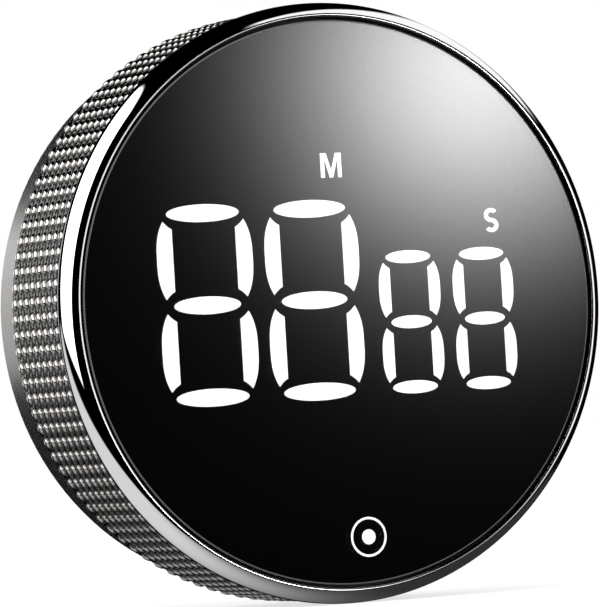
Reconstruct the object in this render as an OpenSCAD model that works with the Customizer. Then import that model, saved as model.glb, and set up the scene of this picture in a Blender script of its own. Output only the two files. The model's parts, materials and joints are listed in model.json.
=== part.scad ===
// Rotary kitchen timer: a knurled ring turns round a fixed glass with four lit digits.
// Pieces are drawn in bench coordinates: x to the right, y up and z from the back to the glass.
// upright() then stands them up with the glass facing -Y and the back in the plane y = 0.

/* [Turning ring] */
// Diameter over the knurl points
ring_d = 77.7; // [77.7:0.1:90]
// Width of the grip along the axis
grip_w = 15.9; // [14:0.1:20]
// Width of the plain rim behind the bezel
grip_rim = 1.1; // [0.5:0.1:3]
// Spacing of the knurl points round the grip
knurl_pitch = 2.08; // [1.8:0.02:3]
// Spacing of the rows of knurl points along the axis
row_pitch = 1.84; // [1.6:0.02:3]
// Height of a knurl point above its valleys
knurl_h = 0.4; // [0.2:0.05:0.6]
// Wall of the knurled sleeve under the valleys
grip_wall = 1.25; // [0.8:0.05:1.6]
// Wall of the rotor rim inside the sleeve
rim_wall = 0.75; // [0.6:0.05:1]
// Length of the bezel along the axis
bezel_h = 2.75; // [2.7:0.05:3.4]
// Height of the bezel above the glass
bezel_lip = 0.2; // [0.1:0.05:0.5]
// Length along the axis of the rounded front of the bezel
bezel_crown = 2.6; // [1.6:0.05:2.65]
// Step of the bezel outside the knurl points
bezel_out = 0.35; // [0.1:0.05:0.6]
// Width of the bevel on the inner edge of the bezel
bezel_bevel = 0.2; // [0.2:0.05:0.5]
// Drop of that bevel towards the glass
bezel_drop = 0.15; // [0.1:0.05:0.3]

/* [Glass and frame] */
// Thickness of the glass
glass_t = 1.2; // [1:0.1:1.6]
// Width of the groove between the glass and the bezel
groove_w = 0.5; // [0.4:0.05:0.8]
// Bevel on the front edge of the glass
glass_bevel = 0.2; // [0.1:0.05:0.3]
// Thickness of the adhesive ring under the glass
tape_t = 0.2; // [0.1:0.05:0.3]
// Width of the adhesive ring
tape_w = 2.6; // [1.5:0.1:3.5]
// Thickness of the frame flange that carries the glass
flange_t = 3.2; // [2.8:0.1:4]
// Width of the frame flange outside its hub
flange_w = 1.6; // [1.4:0.1:2.2]
// Wall of the hub that the ring turns on
hub_wall = 1.6; // [1.2:0.1:2]
// Thickness of the frame lip in front of the reflector
lip_t = 1; // [0.8:0.1:1.4]
// Width of the frame lip inside the hub
lip_w = 1.2; // [0.8:0.1:1.6]

/* [Rear housing] */
// Length of the smooth rear band along the axis
rear_h = 8.6; // [8:0.1:10]
// Step in radius from the knurl points down to the rear band
rear_step = 2.1; // [1.7:0.05:2.5]
// Rounding of the back edge
back_round = 1.1; // [0.6:0.1:1.8]
// Wall of the rear band
rear_wall = 2; // [1.6:0.1:2.4]
// Thickness of the floor
floor_t = 1.8; // [1.6:0.1:2.2]

/* [Batteries] */
// Diameter of a cell
cell_d = 10.5; // [10:0.1:10.5]
// Length of a cell with its nub
cell_l = 44.5; // [43.5:0.1:44.5]
// Diameter of the nub
nub_d = 3.8; // [3:0.1:4]
// Height of the nub
nub_h = 1; // [0.8:0.1:1.2]
// Room for a leaf contact at the flat end of a cell
leaf_room = 3.6; // [3:0.1:3.8]
// Width of a contact
contact_w = 6; // [5:0.1:7]
// Thickness of a positive contact plate
plate_t = 0.4; // [0.3:0.05:0.6]
// Thickness of the leaf of a negative contact
leaf_t = 0.35; // [0.3:0.05:0.5]
// Wall of the battery bay
bay_wall = 1.2; // [1:0.1:1.4]
// Thickness of the battery cover
cover_t = 1.3; // [1.1:0.1:1.4]
// Depth of the cover face behind the back plane
cover_inset = 0.3; // [0.1:0.05:0.4]
// Width of the ledge round the bay that the cover lies on
ledge_w = 0.8; // [0.6:0.05:0.9]
// Corner radius of the cover
cover_corner = 2.5; // [1.5:0.1:4]
// Width of a cover tongue
tongue_w = 3.2; // [2.4:0.1:3.4]
// Reach of a cover tongue behind the floor
tongue_l = 1.6; // [1.2:0.1:1.8]
// Thickness of the tongues and of the latch nose
tongue_t = 1; // [0.8:0.05:1.1]
// Width of the latch nose
latch_w = 9; // [6:0.5:12]
// Reach of the latch nose
latch_l = 0.8; // [0.6:0.05:1.2]

/* [Gear and encoder] */
// Tooth module of the rotor gear and the pinion
gear_module = 0.7; // [0.6:0.05:0.8]
// Teeth of the encoder pinion
pinion_teeth = 12; // [10:1:14]
// Width of the rotor gear
gear_w = 3.1; // [2.6:0.1:3.4]
// Pressure angle of the teeth
pressure_angle = 25; // [22:1:28]
// Backlash along the pitch circle
backlash = 0.2; // [0.15:0.01:0.3]
// Diameter of the encoder shaft
shaft_d = 3; // [2.5:0.1:4]
// Size of the encoder body towards the rim
encoder_depth = 7.6; // [6.5:0.1:7.8]
// Size of the encoder body along the rim
encoder_w = 9; // [7:0.1:9.4]

/* [Board and inner pieces] */
// Thickness of the circuit board
board_t = 1.6; // [1:0.1:2]
// Room between the battery bay and the board
board_room = 0.9; // [0.6:0.1:1.4]
// Diameter of the buzzer
buzzer_d = 9; // [7:0.1:9.4]
// Height of the buzzer
buzzer_h = 5; // [3:0.1:6]
// Direction of the buzzer from the axis
buzzer_angle = 155.8; // [153:0.2:158]
// Room between the buzzer and the rotor gear
buzzer_room = 1.3; // [0.8:0.1:1.6]
// Diameter of a sound hole
sound_hole_d = 1.3; // [1:0.1:1.8]
// Spacing of the sound holes
sound_hole_pitch = 2.6; // [2.2:0.1:3]
// Length of the controller chip
chip_l = 5; // [4:0.1:6]
// Width of the controller chip body
chip_w = 3.9; // [3:0.1:5]
// Height of the controller chip
chip_h = 1.5; // [1:0.1:1.7]
// Direction of the controller chip from the axis
chip_angle = 202; // [200:0.5:204]
// Distance from the middle of the controller chip to the rotor gear
chip_room = 6.3; // [5.5:0.1:6.5]
// Diameter of the touch pad
touch_d = 2.8; // [2:0.1:3]
// Direction of the touch pad and its mark from the axis
touch_angle = -85.6; // [-90:0.2:-80]
// Room between the touch pad and the hub
touch_room = 1; // [0.6:0.1:1.4]
// Length of an LED chip
led_l = 1.6; // [1:0.1:2]
// Width of an LED chip
led_w = 0.8; // [0.5:0.1:1.2]
// Height of an LED chip
led_h = 0.6; // [0.4:0.1:0.8]

/* [Volume switch] */
// Travel of the volume knob to each side
volume_travel = 1.5; // [1:0.1:2]
// Length of the volume knob
knob_l = 3; // [2.5:0.1:4]
// Width of the volume knob
knob_w = 2; // [1.6:0.1:2.4]
// Thickness of the slider plate inside the floor
slider_plate_t = 0.8; // [0.6:0.1:1.2]
// Length of the switch body
switch_l = 8.6; // [8:0.1:10]
// Width of the switch body
switch_w = 3.4; // [3:0.1:3.6]
// Height of the switch body
switch_h = 3.5; // [3:0.1:4.5]
// Thickness of the slider stem
stem_w = 1.6; // [1.2:0.1:2]
// Offset of the slider stem from the knob towards the bay
stem_shift = 0.6; // [0.4:0.05:0.8]

/* [Fasteners and magnets] */
// Diameter of a magnet
magnet_d = 12; // [8:0.5:12.5]
// Thickness of a magnet
magnet_t = 2.5; // [1.5:0.1:3]
// Room between a magnet and the rounding of the back edge
magnet_room = 4.65; // [4.15:0.05:5.15]
// Depth of a magnet behind the back plane
magnet_inset = 0.2; // [0.1:0.05:0.4]
// Wall round a magnet
magnet_wall = 1; // [0.8:0.1:1.2]
// Diameter of a screw post
post_d = 4.8; // [4.2:0.1:5.2]
// Direction of the first screw post from the axis
post_angle = 41; // [39:1:43]
// Diameter of the case screws
screw_d = 1.9; // [1.6:0.1:2.2]
// Diameter of a case screw head
screw_head_d = 3.8; // [3.2:0.1:4]
// Height of a case screw head
screw_head_h = 1.5; // [1:0.1:1.8]
// Length of a case screw under its head
screw_l = 9; // [7:0.5:10]
// Depth of the case screw seats
screw_seat = 4.2; // [3.4:0.1:4.6]
// Floor of a screw seat
seat_t = 2; // [1.5:0.1:2.4]
// Diameter of a board lug
lug_d = 4.4; // [4:0.1:5]
// Diameter of the board screws
board_screw_d = 1.5; // [1.2:0.1:1.8]
// Diameter of a board screw head
board_head_d = 3; // [2.6:0.1:3.2]
// Height of a board screw head
board_head_h = 0.8; // [0.6:0.1:1]
// Length of a board screw under its head
board_screw_l = 5; // [4:0.5:6]

/* [Digits] */
// Centre of the first minute digit
minute_at = [-18.98, 0.53];
// Spacing of the minute digits
minute_pitch = 15.39; // [14.8:0.01:16]
// Distance between the side segments of a minute digit
minute_w = 11.34; // [10.6:0.02:11.8]
// Distance between the top and bottom segments of a minute digit
minute_h = 23.78; // [23:0.02:24.6]
// Thickness of the minute segments
minute_bar = 2.35; // [1.8:0.05:2.5]
// Centre of the first second digit
second_at = [10.39, -2.89];
// Spacing of the second digits
second_pitch = 10.9; // [10.4:0.01:11.4]
// Distance between the side segments of a second digit
second_w = 7.3; // [6.9:0.02:7.6]
// Distance between the top and bottom segments of a second digit
second_h = 17.06; // [16.4:0.02:18]
// Thickness of the second segments
second_bar = 1.75; // [1.4:0.05:1.9]
// Thickness of the lit segment pieces
segment_t = 1; // [0.6:0.1:1.6]
// Thickness of the diffuser film
film_t = 0.15; // [0.1:0.05:0.2]

/* [Fits] */
// Gap between pieces that move past each other
run_gap = 0.3; // [0.25:0.05:0.4]
// Running clearance of the hub and of the encoder shaft
shaft_gap = 0.08; // [0.04:0.01:0.1]
// Gap between pieces that are fixed to each other
seat_gap = 0.05; // [0.03:0.01:0.1]
// Gap round loose inner pieces
loose_gap = 0.4; // [0.3:0.05:0.5]
// Gap round the battery cover
cover_gap = 0.2; // [0.15:0.05:0.3]

/* [Hidden] */
$fn = 96;
// Overlap of a cut past the face that it opens
cut = 1;
// Radii from the knurl inwards
crest_r = ring_d / 2;
valley_r = crest_r - knurl_h;
sleeve_r = valley_r - grip_wall;
rotor_r = sleeve_r - seat_gap;
rim_r = rotor_r - rim_wall;
glass_r = sleeve_r - groove_w;
flange_r = rim_r - loose_gap;
hub_r = flange_r - flange_w;
hub_in_r = hub_r - hub_wall;
lip_r = hub_in_r - lip_w;
board_r = hub_in_r - run_gap;
core_r = lip_r - run_gap;
rear_r = crest_r - rear_step;
cavity_r = rear_r - rear_wall;
// Heights from the back to the glass
grip_z = rear_h + run_gap;
bezel_z = grip_z + grip_w + seat_gap;
front_z = bezel_z + bezel_h;
glass_front = front_z - bezel_lip;
glass_z = glass_front - glass_t;
flange_front = glass_z - tape_t;
flange_z = flange_front - flange_t;
lip_z = flange_front - lip_t;
core_front = flange_front - film_t;
rotor_front = flange_z - run_gap;
rim_front = flange_front - run_gap;
gear_front = grip_z + gear_w;
hub_z = gear_front + run_gap;
// Battery bay
cover_z = cover_inset + cover_t;
cell_pitch = cell_d + seat_gap * 4;
cell_count = 3;
cell_z = cover_z + loose_gap + cell_d / 2;
bay_x = cell_count * cell_pitch / 2 + seat_gap * 3;
bay_y = (cell_l + leaf_room + plate_t + seat_gap * 2) / 2;
bay_ceiling = cell_z + cell_d / 2 + loose_gap;
bay_front = bay_ceiling + bay_wall;
ledge_z = cover_z + seat_gap;
recess_x = bay_x + ledge_w;
recess_y = bay_y + ledge_w;
cover_x = recess_x - cover_gap;
cover_y = recess_y - cover_gap;
neck_l = 1.3;
tongue_z = floor_t + cover_gap;
tongue_front = tongue_z + tongue_t;
slot_front = tongue_front + tongue_l;
// Board
board_z = bay_front + board_room;
board_front = board_z + board_t;
// Gear
ring_teeth = 4 * floor((hub_r - 2) * 2 / gear_module / 4);
ring_pitch_r = ring_teeth * gear_module / 2;
pinion_pitch_r = pinion_teeth * gear_module / 2;
addendum = 0.8 * gear_module;
dedendum = gear_module;
ring_tip_r = ring_pitch_r - addendum;
ring_root_r = ring_pitch_r + dedendum;
pinion_tip_r = pinion_pitch_r + addendum;
pinion_root_r = pinion_pitch_r - dedendum;
pinion_at = ring_pitch_r - pinion_pitch_r;
encoder_z = hub_z + run_gap;
encoder_bore_top = encoder_z + (board_z - encoder_z) * 2 / 3;
pinion_z = grip_z + run_gap;
// Posts, lugs and switch
post_at = ring_tip_r - post_d / 2 - 2 * run_gap;
boss_front = screw_seat + seat_t;
boss_wall = 1.3;
boss_d = screw_head_d + 2 * boss_wall;
screw_hole_r = screw_d / 2 + seat_gap;
board_hole_r = board_screw_d / 2 + seat_gap;
web_w = 2;
magnet_at = rear_r - back_round - magnet_room - magnet_d / 2;
magnet_r = magnet_d / 2 + seat_gap;
magnet_top = magnet_inset + magnet_t + seat_gap;
lug_sink = 0.6;
lug_at = hub_in_r - lug_d / 2 + lug_sink;
lug_angles = [70, 180, 290];
buzzer_at = (ring_tip_r - buzzer_room - buzzer_d / 2) * [cos(buzzer_angle), sin(buzzer_angle)];
chip_at = (ring_tip_r - chip_room) * [cos(chip_angle), sin(chip_angle)];
touch_at = (hub_in_r - touch_room - touch_d / 2) * [cos(touch_angle), sin(touch_angle)];
switch_y = (bay_y + bay_wall + ring_tip_r) / 2;
stem_y = switch_y - stem_shift;
switch_z = board_z - switch_h;
slider_z = floor_t + run_gap / 2;
slider_plate_l = knob_l + 2 * volume_travel + loose_gap;
slider_plate_w = knob_w + 3 * loose_gap;
peg_w = 1;
peg_l = switch_h / 2;
slide_gap = run_gap / 2;
knob_slot_l = knob_l + 2 * volume_travel + 4 * slide_gap;
// Digits: place, half width, half height, bar thickness
digits = [
    for (i = [0, 1])
        [minute_at + [i * minute_pitch, 0], minute_w / 2, minute_h / 2, minute_bar],
    for (i = [0, 1])
        [second_at + [i * second_pitch, 0], second_w / 2, second_h / 2, second_bar]
];

// Stands bench geometry upright with its front towards -Y.
module upright() {
    rotate([90, 0, 0])
        children();
}

// Straight round piece from height z to height top.
module disc(r, z, top) {
    translate([0, 0, z])
        cylinder(r = r, h = top - z);
}

// Flat ring from height z to height top.
module band(r_out, r_in, z, top) {
    difference() {
        disc(r_out, z, top);
        disc(r_in, z - cut, top + cut);
    }
}

// Box centred on x and y, from height z to height top.
module slab(half_x, half_y, z, top) {
    translate([-half_x, -half_y, z])
        cube([2 * half_x, 2 * half_y, top - z]);
}

// Box between two corners.
module block(a, b) {
    translate(a)
        cube(b - a);
}

// Copies on the four screw posts.
module at_posts() {
    for (side = [0, 180])
        for (turn = [post_angle, -post_angle])
            rotate(side + turn)
                translate([post_at, 0, 0])
                    children();
}

// Copies on the three board lugs.
module at_lugs() {
    for (turn = lug_angles)
        rotate(turn)
            translate([lug_at, 0, 0])
                children();
}

// Involute function of a pressure angle, in degrees.
function involute(a) = tan(a) * 180 / PI - a;

// Half angle of a tooth at radius r, for a gear of the given teeth and thickness change.
function tooth_half(teeth, r, change) =
    let (
        pitch_r = teeth * gear_module / 2,
        base_r = pitch_r * cos(pressure_angle),
        at_r = acos(min(1, base_r / max(r, base_r)))
    )
    90 / teeth + change / pitch_r * 90 / PI + involute(pressure_angle) - involute(at_r);

// Outline of a gear whose teeth reach from root_r to tip_r, with a tooth on the x axis.
function gear_outline(teeth, root_r, tip_r, change) = [
    for (i = [0 : teeth - 1])
        for (side = [-1, 1])
            for (k = [0 : 3])
                let (
                    step = side < 0 ? k / 3 : 1 - k / 3,
                    r = root_r + (tip_r - root_r) * step,
                    a = 360 * i / teeth + side * tooth_half(teeth, r, change)
                )
                r * [cos(a), sin(a)]
];

// Outline of a level segment: an ellipse.
function level_outline(l, t) = [
    for (i = [0 : 27])
        [l / 2 * cos(i * 360 / 28), t / 2 * sin(i * 360 / 28)]
];

// Outline of a standing segment: bowed outer edge, straight inner edge and hollow ends.
function standing_outline(w, l) =
    let (
        bow = 0.46 * w,
        short = 0.1 * l,
        hollow = 0.12 * w,
        tip = w / 2 - bow,
        outer = [for (i = [-5 : 5]) [tip + bow * (1 - i * i / 25), l / 2 * i / 5]],
        end = [
            for (i = [1 : 4])
                let (t = i / 4)
                [tip - (tip + w / 2) * t, l / 2 - short * t - 4 * hollow * t * (1 - t)]
        ],
        low_end = [for (i = [3 : -1 : 0]) [end[i][0], -end[i][1]]]
    )
    concat(outer, end, low_end);

// The seven segments of each digit, grown by a gap on every side.
module digit_segments(grow) {
    for (d = digits) {
        bar = d[3];
        level_l = 2 * d[1] - bar * 0.42;
        middle_l = level_l - bar * 0.38;
        standing_l = d[2] - bar * 0.8;
        translate(d[0]) {
            for (end = [-1, 1])
                translate([0, end * d[2]])
                    polygon(level_outline(level_l + 2 * grow, bar + 2 * grow));
            polygon(level_outline(middle_l + 2 * grow, bar + 2 * grow));
            for (side = [-1, 1])
                for (end = [-1, 1])
                    translate([side * d[1], end * d[2] / 2])
                        scale_x(side)
                            polygon(standing_outline(bar + 2 * grow, standing_l + 2 * grow));
        }
    }
}

// Mirrors its children in x when side is negative.
module scale_x(side) {
    if (side < 0)
        mirror([1, 0])
            children();
    else
        children();
}

// Copies at the middle of every segment.
module at_segments() {
    for (d = digits)
        for (level = [-2 : 2])
            for (side = level % 2 == 0 ? [0] : [-1, 1])
                translate(d[0] + [side * d[1], level * d[2] / 2])
                    children();
}

// Rounded plate outline.
module rounded_plate(half_x, half_y, r) {
    square([2 * half_x, 2 * (half_y - r)], center = true);
    square([2 * (half_x - r), 2 * half_y], center = true);
    for (x = [-1, 1])
        for (y = [-1, 1])
            translate([x * (half_x - r), y * (half_y - r)])
                circle(r = r);
}

// Glass disc with a bevelled front edge.
module front_lens() {
    color("black")
        upright() {
            disc(glass_r, glass_z, glass_front - glass_bevel);
            translate([0, 0, glass_front - glass_bevel])
                cylinder(r1 = glass_r, r2 = glass_r - glass_bevel, h = glass_bevel);
        }
}

// Adhesive ring between the glass and the frame.
module lens_tape() {
    color("dimgray")
        upright()
            band(flange_r, flange_r - tape_w, flange_front, glass_z);
}

// Bright ring with a domed front and a bevel towards the glass.
module chrome_bezel() {
    dome_r = sleeve_r + bezel_bevel;
    dome_w = crest_r + bezel_out - dome_r;
    dome_z = front_z - bezel_crown;
    color("silver")
        upright()
            rotate_extrude() {
                translate([sleeve_r, bezel_z])
                    square([bezel_bevel + dome_w, dome_z - bezel_z]);
                polygon([
                    [sleeve_r, dome_z],
                    [dome_r, dome_z],
                    [dome_r, front_z],
                    [sleeve_r, front_z - bezel_drop]
                ]);
                intersection() {
                    translate([dome_r, dome_z])
                        scale([dome_w, bezel_crown])
                            circle(r = 1);
                    translate([dome_r, dome_z])
                        square([dome_w, bezel_crown]);
                }
            }
}

// Knurled sleeve: staggered four-sided points and a plain rim in front of them.
module grip_ring() {
    columns = round(PI * ring_d / knurl_pitch);
    knurl_w = grip_w - grip_rim;
    rows = 2 * round(knurl_w / row_pitch);
    ends = rows + 1;
    steps = 2 * columns;
    bore_r = sleeve_r / cos(180 / columns);
    outer = [
        for (j = [0 : ends])
            for (i = [0 : steps - 1])
                let (
                    point = j > 0 && j < rows && (i + j) % 2 == 0,
                    r = point ? crest_r : valley_r,
                    z = j < ends ? knurl_w * j / rows : grip_w,
                    a = 360 * i / steps
                )
                [r * cos(a), r * sin(a), grip_z + z]
    ];
    bore = [
        for (j = [0, 1])
            for (i = [0 : columns - 1])
                let (a = 360 * i / columns)
                [bore_r * cos(a), bore_r * sin(a), grip_z + grip_w * j]
    ];
    base = len(outer);
    function on_face(i, j) = j * steps + i % steps;
    function on_bore(i, j) = base + j * columns + i % columns;
    knurl = [
        for (j = [0 : rows])
            for (i = [0 : steps - 1])
                let (
                    a = on_face(i, j),
                    b = on_face(i + 1, j),
                    c = on_face(i + 1, j + 1),
                    d = on_face(i, j + 1)
                )
                each (i + j) % 2 == 0 ? [[a, d, b], [b, d, c]] : [[a, d, c], [a, c, b]]
    ];
    front = [
        for (i = [0 : columns - 1])
            let (
                a = on_face(2 * i, ends),
                b = on_face(2 * i + 1, ends),
                c = on_face(2 * i + 2, ends),
                d = on_bore(i, 1),
                e = on_bore(i + 1, 1)
            )
            each [[a, d, b], [b, d, e], [b, e, c]]
    ];
    rear = [
        for (i = [0 : columns - 1])
            let (
                a = on_face(2 * i, 0),
                b = on_face(2 * i + 1, 0),
                c = on_face(2 * i + 2, 0),
                d = on_bore(i, 0),
                e = on_bore(i + 1, 0)
            )
            each [[a, b, d], [b, e, d], [b, c, e]]
    ];
    inside = [
        for (i = [0 : columns - 1])
            let (
                a = on_bore(i, 0),
                b = on_bore(i + 1, 0),
                c = on_bore(i + 1, 1),
                d = on_bore(i, 1)
            )
            each [[a, b, c], [a, c, d]]
    ];
    color("slategray")
        upright()
            polyhedron(points = concat(outer, bore), faces = concat(knurl, front, rear, inside));
}

// Carrier of the grip, with the journal bore, the front rim and the internal gear.
module dial_rotor() {
    color("dimgray")
        upright()
            difference() {
                disc(rotor_r, grip_z, rim_front);
                disc(rim_r, rotor_front, rim_front + cut);
                disc(hub_r + shaft_gap, gear_front, rotor_front + cut);
                translate([0, 0, grip_z - cut])
                    linear_extrude(gear_w + 2 * cut)
                        polygon(gear_outline(ring_teeth, ring_tip_r, ring_root_r, backlash / 2));
            }
}

// Pinion in mesh with the rotor gear, with its shaft up into the encoder.
module encoder_pinion() {
    color("ivory")
        upright()
            translate([pinion_at, 0, 0]) {
                translate([0, 0, pinion_z])
                    linear_extrude(gear_w - 2 * run_gap)
                        polygon(gear_outline(pinion_teeth, pinion_root_r, pinion_tip_r, -backlash / 2));
                disc(shaft_d / 2, pinion_z, encoder_bore_top - run_gap);
            }
}

// Encoder housing under the board, with a blind bore for the shaft.
module encoder_body() {
    color("gray")
        upright()
            difference() {
                block([pinion_at - encoder_depth / 2, -encoder_w / 2, encoder_z],
                      [pinion_at + encoder_depth / 2, encoder_w / 2, board_z]);
                translate([pinion_at, 0, 0])
                    disc(shaft_d / 2 + shaft_gap, encoder_z - cut, encoder_bore_top);
            }
}

// Fixed frame: glass flange, journal hub, reflector lip, screw posts and board lugs.
module front_frame() {
    color("black")
        upright()
            difference() {
                union() {
                    band(flange_r, lip_r, lip_z, flange_front);
                    band(flange_r, hub_in_r, flange_z, lip_z + cut / 2);
                    band(hub_r, hub_in_r, hub_z, flange_z + cut);
                    at_posts() {
                        disc(post_d / 2, boss_front, lip_z + cut / 2);
                        block([0, -web_w / 2, board_front],
                              [hub_in_r + hub_wall / 2 - post_at, web_w / 2, lip_z + cut / 2]);
                    }
                    at_lugs()
                        disc(lug_d / 2, board_front, lip_z + cut / 2);
                }
                at_posts()
                    disc(screw_hole_r, boss_front - cut, screw_seat + screw_l + loose_gap);
                at_lugs()
                    disc(board_hole_r, board_front - cut, board_z + board_screw_l + loose_gap);
                translate(touch_at)
                    disc(touch_d / 2 + run_gap, lip_z - cut, flange_front + cut);
            }
}

// Film over the lit segments.
module diffuser_film() {
    color("white")
        upright()
            difference() {
                disc(core_r, core_front, flange_front);
                translate(touch_at)
                    disc(touch_d / 2 + run_gap, core_front - cut, flange_front + cut);
            }
}

// Black block with a light well for each segment, cut away for posts, lugs and touch pad.
module reflector_block() {
    color("black")
        upright()
            difference() {
                union() {
                    disc(board_r, board_front, lip_z - seat_gap);
                    disc(core_r, board_front, core_front);
                }
                translate([0, 0, board_front - cut])
                    linear_extrude(core_front - board_front + 2 * cut)
                        digit_segments(seat_gap);
                at_posts() {
                    disc(post_d / 2 + run_gap, board_front - cut, core_front + cut);
                    block([0, -web_w / 2 - run_gap, board_front - cut],
                          [hub_in_r - post_at + cut, web_w / 2 + run_gap, core_front + cut]);
                }
                at_lugs()
                    disc(lug_d / 2 + run_gap, board_front - cut, core_front + cut);
                translate(touch_at)
                    disc(touch_d / 2 + run_gap, board_front - cut, core_front + cut);
            }
}

// Translucent pieces in the mouths of the wells.
module segment_lights() {
    color("white")
        upright()
            translate([0, 0, core_front - segment_t])
                linear_extrude(segment_t)
                    digit_segments(0);
}

// One light-emitting chip at the foot of each well.
module led_chips() {
    color("lightyellow")
        upright()
            at_segments()
                slab(led_w / 2, led_l / 2, board_front, board_front + led_h);
}

// Round board with holes for the posts and the board screws.
module main_board() {
    color("darkgreen")
        upright()
            difference() {
                disc(board_r, board_z, board_front);
                at_posts()
                    disc(post_d / 2 + run_gap, board_z - cut, board_front + cut);
                at_lugs()
                    disc(board_hole_r, board_z - cut, board_front + cut);
            }
}

// Screw with its head below height z and its shank above it.
module screw(d, l, head_d, head_h, z) {
    difference() {
        union() {
            disc(d / 2, z, z + l);
            disc(head_d / 2, z - head_h, z);
        }
        for (turn = [0, 90])
            rotate(turn)
                slab(head_d * 0.3, head_d * 0.07, z - head_h - cut, z - head_h / 2);
    }
}

// Screws through the board into the frame lugs.
module board_screws() {
    color("silver")
        upright()
            at_lugs()
                screw(board_screw_d, board_screw_l, board_head_d, board_head_h, board_z);
}

// Screws from the back into the frame posts.
module case_screws() {
    color("gray")
        upright()
            at_posts()
                screw(screw_d, screw_l, screw_head_d, screw_head_h, screw_seat);
}

// Timer chip with its leads on the back of the board.
module controller_chip() {
    lead_pitch = 1.27;
    lead_w = 0.42;
    lead_reach = 1.05;
    lead_t = 0.25;
    lead_z = board_z - chip_h / 2 - lead_t;
    stand_off = 0.1;
    color("black")
        upright()
            translate(chip_at) {
                slab(chip_w / 2, chip_l / 2, board_z - chip_h, board_z - stand_off);
                for (i = [-1.5 : 1.5])
                    translate([0, i * lead_pitch, 0]) {
                        slab((chip_w + lead_reach) / 2, lead_w / 2, lead_z, lead_z + lead_t);
                        for (side = [-1, 1])
                            translate([side * (chip_w + lead_reach) / 2, 0, 0])
                                slab(lead_t / 2, lead_w / 2, lead_z, board_z);
                    }
            }
}

// Conductive foam post between the board and the glass.
module touch_pad() {
    color("darkgray")
        upright()
            translate(touch_at)
                disc(touch_d / 2, board_front, glass_z);
}

// Sounder with a port in its face.
module buzzer() {
    port_d = 2;
    port_depth = 1;
    color("black")
        upright()
            translate(buzzer_at)
                difference() {
                    disc(buzzer_d / 2, board_z - buzzer_h, board_z);
                    disc(port_d / 2, board_z - buzzer_h - cut, board_z - buzzer_h + port_depth);
                }
}

// Slide switch body with a slot for the slider peg.
module volume_switch() {
    color("gray")
        upright()
            difference() {
                translate([0, switch_y, 0])
                    slab(switch_l / 2, switch_w / 2, switch_z, board_z);
                translate([0, stem_y, 0])
                    slab(peg_w / 2 + volume_travel + slide_gap * 2, peg_w / 2 + slide_gap,
                         switch_z - cut, switch_z + peg_l + run_gap);
            }
}

// Knob in the floor slot, its plate behind the floor and its stem up to the switch.
module volume_slider() {
    grip_ribs = 3;
    rib_w = 0.3;
    color("black")
        upright() {
            translate([0, switch_y, 0]) {
                difference() {
                    slab(knob_l / 2, knob_w / 2, cover_inset, slider_z + slider_plate_t / 2);
                    for (i = [0 : grip_ribs - 1])
                        translate([(i - 1) * knob_l / (grip_ribs + 1), 0, 0])
                            slab(rib_w / 2, knob_w, cover_inset - cut, cover_inset + rib_w);
                }
                slab(slider_plate_l / 2, slider_plate_w / 2, slider_z, slider_z + slider_plate_t);
            }
            translate([0, stem_y, 0]) {
                slab(stem_w / 2, stem_w / 2, slider_z, switch_z - run_gap);
                slab(peg_w / 2, peg_w / 2, switch_z - 2 * run_gap, switch_z + peg_l);
            }
        }
}

// Rear shell: rounded cup, battery bay, screw seats, magnet cups, slider slot and sound holes.
module rear_housing() {
    slot_w = tongue_w + 2 * cover_gap;
    latch_slot = latch_w / 2 + cover_gap;
    latch_y = cover_y + latch_l + 2 * cover_gap;
    inner_round = back_round / 2;
    color("dimgray")
        upright()
            difference() {
                union() {
                    rotate_extrude()
                        difference() {
                            cup_profile(rear_r, 0, back_round);
                            cup_profile(cavity_r, floor_t, inner_round);
                        }
                    slab(bay_x + bay_wall, bay_y + bay_wall, 0, bay_front);
                    at_posts()
                        disc(boss_d / 2, 0, boss_front);
                    for (side = [-1, 1])
                        translate([side * magnet_at, 0, 0])
                            disc(magnet_r + magnet_wall, 0, magnet_top + magnet_wall);
                }
                slab(bay_x, bay_y, -cut, bay_ceiling);
                translate([0, 0, -cut])
                    linear_extrude(ledge_z + cut)
                        rounded_plate(recess_x, recess_y, cover_corner + cover_gap);
                for (side = [-1, 1])
                    translate([side * cell_pitch / 2, 0, 0]) {
                        block([-slot_w / 2, bay_y - cut, cover_inset],
                              [slot_w / 2, recess_y, slot_front]);
                        block([-slot_w / 2, bay_y - cut, floor_t],
                              [slot_w / 2, cover_y + tongue_l + 2 * cover_gap, slot_front]);
                    }
                block([-latch_slot, -latch_y, -cut],
                      [latch_slot, -bay_y + cut, tongue_front + 2 * cover_gap]);
                at_posts() {
                    disc(screw_head_d / 2 + cover_gap, -cut, screw_seat);
                    disc(screw_hole_r, -cut, boss_front + cut);
                }
                for (side = [-1, 1])
                    translate([side * magnet_at, 0, 0])
                        disc(magnet_r, -cut, magnet_top);
                translate([0, switch_y, 0])
                    slab(knob_slot_l / 2, knob_w / 2 + slide_gap, -cut, floor_t + cut / 2);
                for (x = [-1 : 1])
                    for (y = [-1 : 1])
                        translate(buzzer_at + sound_hole_pitch * [x, y])
                            disc(sound_hole_d / 2, -cut, floor_t + cut);
            }
}

// Half section of a cup of radius r whose back edge at height z is rounded.
module cup_profile(r, z, edge) {
    top = z > 0 ? rear_h + cut : rear_h;
    translate([0, z])
        square([r - edge, top - z]);
    translate([0, z + edge])
        square([r, top - z - edge]);
    intersection() {
        translate([r - edge, z + edge])
            circle(r = edge);
        translate([0, z])
            square([r, top - z]);
    }
}

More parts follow.
